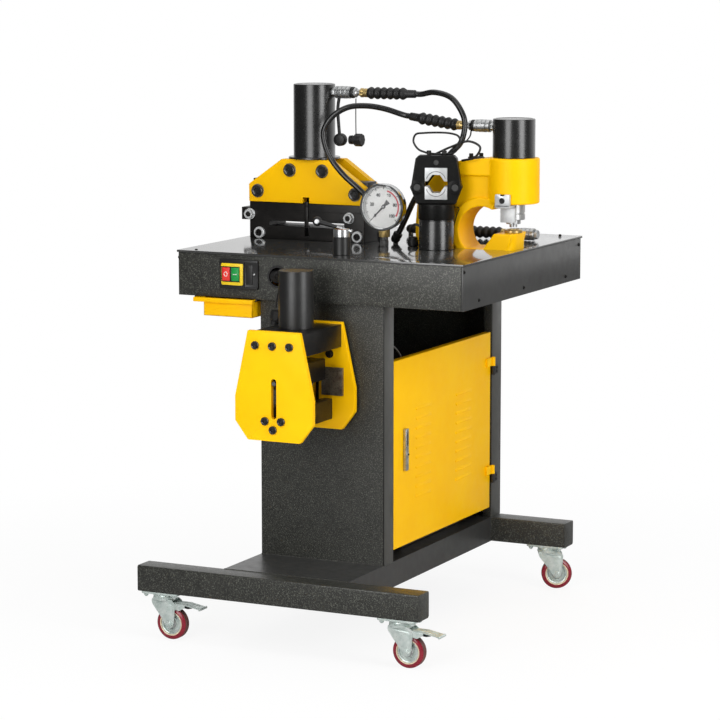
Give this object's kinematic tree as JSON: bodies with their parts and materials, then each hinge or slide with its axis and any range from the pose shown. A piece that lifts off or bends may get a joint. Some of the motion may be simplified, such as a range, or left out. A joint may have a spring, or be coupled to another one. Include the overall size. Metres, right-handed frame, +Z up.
{
  "type": "busbar fabricating tool",
  "caption": "Wheeled hydraulic bench for copper busbar, with a cutter, a punch and a crimping head on the table, a bender on the front, and the power unit in the cabinet below.",
  "frame": {"origin": "middle of the footprint on the floor", "axes": "+Z up, +X to the right of somebody who stands at the bender, +Y away from them"},
  "size_m": [0.766, 0.929, 1.247],
  "materials": {
    "hammer_grey": "dark grey hammertone enamel",
    "worktop": "glossy dark enamel that reflects the tools",
    "yellow_paint": "gloss yellow enamel",
    "gloss_black": "gloss black enamel",
    "satin_black": "satin black enamel and black oxide",
    "black_rubber": "black rubber, semi gloss",
    "bright_steel": "machined steel",
    "zinc": "bright zinc plate",
    "brass": "machined brass",
    "wheel_red": "maroon polyurethane",
    "gauge": "polished steel case with a white dial",
    "clear_glass": "clear flat glass",
    "red_plastic": "red moulded plastic",
    "green_plastic": "green moulded plastic",
    "white_plastic": "off-white moulded plastic"
  },
  "bodies": {
    "bench": {"base_frame": "hammer_grey", "column": "hammer_grey", "table_frame": "hammer_grey", "switch_box": "satin_black", "bender_front_plate": "yellow_paint", "bender_rear_plate": "yellow_paint", "bender_head_block": "satin_black", "bender_cylinder": "gloss_black", "bender_anvil": "satin_black", "cutter_front_plate": "yellow_paint", "cutter_rear_plate": "yellow_paint", "cutter_base": "satin_black", "cutter_lower_blade": "bright_steel", "cutter_cylinder": "gloss_black", "punch_frame": "yellow_paint", "punch_cylinder": "gloss_black", "punch_die": "bright_steel", "punch_stripper": "bright_steel", "crimp_cylinder": "gloss_black", "crimp_head": "satin_black", "crimp_upper_die": "bright_steel", "gauge_case": "gauge", "gauge_glass": "clear_glass", "valve_body": "satin_black", "fitting_cutter": "zinc", "fitting_punch": "zinc", "fitting_crimp": "zinc", "fitting_bender": "zinc", "hose_cutter": "black_rubber", "hose_punch": "black_rubber", "hose_crimp": "black_rubber", "hose_bender": "black_rubber", "oil_tank": "hammer_grey", "pump_motor": "satin_black", "valve_manifold": "brass", "table_top": "worktop"},
    "door": {"cabinet_door": "yellow_paint"},
    "latch": {"door_latch": "bright_steel"},
    "drawer": {"drawer": "yellow_paint"},
    "stop_button": {"stop_button": "red_plastic"},
    "start_button": {"start_button": "green_plastic"},
    "bender_ram": {"bender_ram": "satin_black", "bender_nose": "bright_steel"},
    "cutter_ram": {"cutter_ram": "satin_black", "cutter_upper_blade": "bright_steel"},
    "punch_ram": {"punch_ram": "bright_steel"},
    "crimp_die": {"crimp_lower_die": "bright_steel"},
    "gauge_needle": {"gauge_needle": "satin_black"},
    "valve_lever": {"valve_lever": "bright_steel"},
    "motor_fan": {"motor_fan": "white_plastic"},
    "caster_front_left": {"caster_fork_front_left": "zinc"},
    "wheel_front_left": {"caster_wheel_front_left": "wheel_red"},
    "pedal_front_left": {"brake_pedal_front_left": "zinc"},
    "caster_front_right": {"caster_fork_front_right": "zinc"},
    "wheel_front_right": {"caster_wheel_front_right": "wheel_red"},
    "pedal_front_right": {"brake_pedal_front_right": "zinc"},
    "caster_rear_left": {"caster_fork_rear_left": "zinc"},
    "wheel_rear_left": {"caster_wheel_rear_left": "wheel_red"},
    "caster_rear_right": {"caster_fork_rear_right": "zinc"},
    "wheel_rear_right": {"caster_wheel_rear_right": "wheel_red"}
  },
  "joints": [
    {"name": "caster_swivel_front_left", "type": "hinge", "parent": "bench", "child": "caster_front_left", "pos_m": [-0.317, -0.4335, 0.106], "axis": [0, 0, 1], "continuous": true},
    {"name": "wheel_spin_front_left", "type": "hinge", "parent": "caster_front_left", "child": "wheel_front_left", "pos_m": [-0.295, -0.4335, 0.0375], "axis": [0, 1, 0], "continuous": true},
    {"name": "brake_press_front_left", "type": "hinge", "parent": "caster_front_left", "child": "pedal_front_left", "pos_m": [-0.295, -0.4335, 0.082], "axis": [0, 1, 0], "range_deg": [0, 14]},
    {"name": "caster_swivel_front_right", "type": "hinge", "parent": "bench", "child": "caster_front_right", "pos_m": [0.281, -0.4335, 0.106], "axis": [0, 0, 1], "continuous": true},
    {"name": "wheel_spin_front_right", "type": "hinge", "parent": "caster_front_right", "child": "wheel_front_right", "pos_m": [0.303, -0.4335, 0.0375], "axis": [0, 1, 0], "continuous": true},
    {"name": "brake_press_front_right", "type": "hinge", "parent": "caster_front_right", "child": "pedal_front_right", "pos_m": [0.303, -0.4335, 0.082], "axis": [0, 1, 0], "range_deg": [0, 14]},
    {"name": "caster_swivel_rear_left", "type": "hinge", "parent": "bench", "child": "caster_rear_left", "pos_m": [-0.317, 0.4225, 0.106], "axis": [0, 0, 1], "continuous": true},
    {"name": "wheel_spin_rear_left", "type": "hinge", "parent": "caster_rear_left", "child": "wheel_rear_left", "pos_m": [-0.33694, 0.4132, 0.0375], "axis": [0.4226, -0.9063, 0], "continuous": true},
    {"name": "caster_swivel_rear_right", "type": "hinge", "parent": "bench", "child": "caster_rear_right", "pos_m": [0.281, 0.4225, 0.106], "axis": [0, 0, 1], "continuous": true},
    {"name": "wheel_spin_rear_right", "type": "hinge", "parent": "caster_rear_right", "child": "wheel_rear_right", "pos_m": [0.30077, 0.43214, 0.0375], "axis": [-0.4384, 0.8988, 0], "continuous": true},
    {"name": "door_swing", "type": "hinge", "parent": "bench", "child": "door", "pos_m": [0.1448, 0.3905, 0.416], "axis": [0, 0, 1], "range_deg": [0, 120]},
    {"name": "latch_turn", "type": "hinge", "parent": "door", "child": "latch", "pos_m": [0.14, -0.115, 0.423], "axis": [-1, 0, 0], "range_deg": [0, 90]},
    {"name": "drawer_slide", "type": "slide", "parent": "bench", "child": "drawer", "axis": [0, -1, 0], "range_m": [0, 0.25]},
    {"name": "stop_press", "type": "slide", "parent": "bench", "child": "stop_button", "axis": [0, 1, 0], "range_m": [0, 0.0025], "stiffness_N_per_m": 900},
    {"name": "start_press", "type": "slide", "parent": "bench", "child": "start_button", "axis": [0, 1, 0], "range_m": [0, 0.0025], "stiffness_N_per_m": 900},
    {"name": "bender_ram_slide", "type": "slide", "parent": "bench", "child": "bender_ram", "axis": [0, 0, -1], "range_m": [0, 0.038]},
    {"name": "cutter_ram_slide", "type": "slide", "parent": "bench", "child": "cutter_ram", "axis": [0, 0, -1], "range_m": [0, 0.022]},
    {"name": "punch_ram_slide", "type": "slide", "parent": "bench", "child": "punch_ram", "axis": [0, 0, -1], "range_m": [0, 0.01]},
    {"name": "crimp_die_lift", "type": "slide", "parent": "bench", "child": "crimp_die", "axis": [0, 0, 1], "range_m": [0, 0.01]},
    {"name": "needle_turn", "type": "hinge", "parent": "bench", "child": "gauge_needle", "pos_m": [0.019, 0.0235, 0.968], "axis": [0, 1, 0], "range_deg": [0, 270], "stiffness_Nm_per_rad": 0.01},
    {"name": "lever_turn", "type": "hinge", "parent": "bench", "child": "valve_lever", "pos_m": [0.009, -0.1755, 0.915], "axis": [0, 0, 1], "range_deg": [-90, 180]},
    {"name": "fan_spin", "type": "hinge", "parent": "bench", "child": "motor_fan", "pos_m": [-0.018, 0.13, 0.5], "axis": [0, 0, 1], "continuous": true}
  ]
}
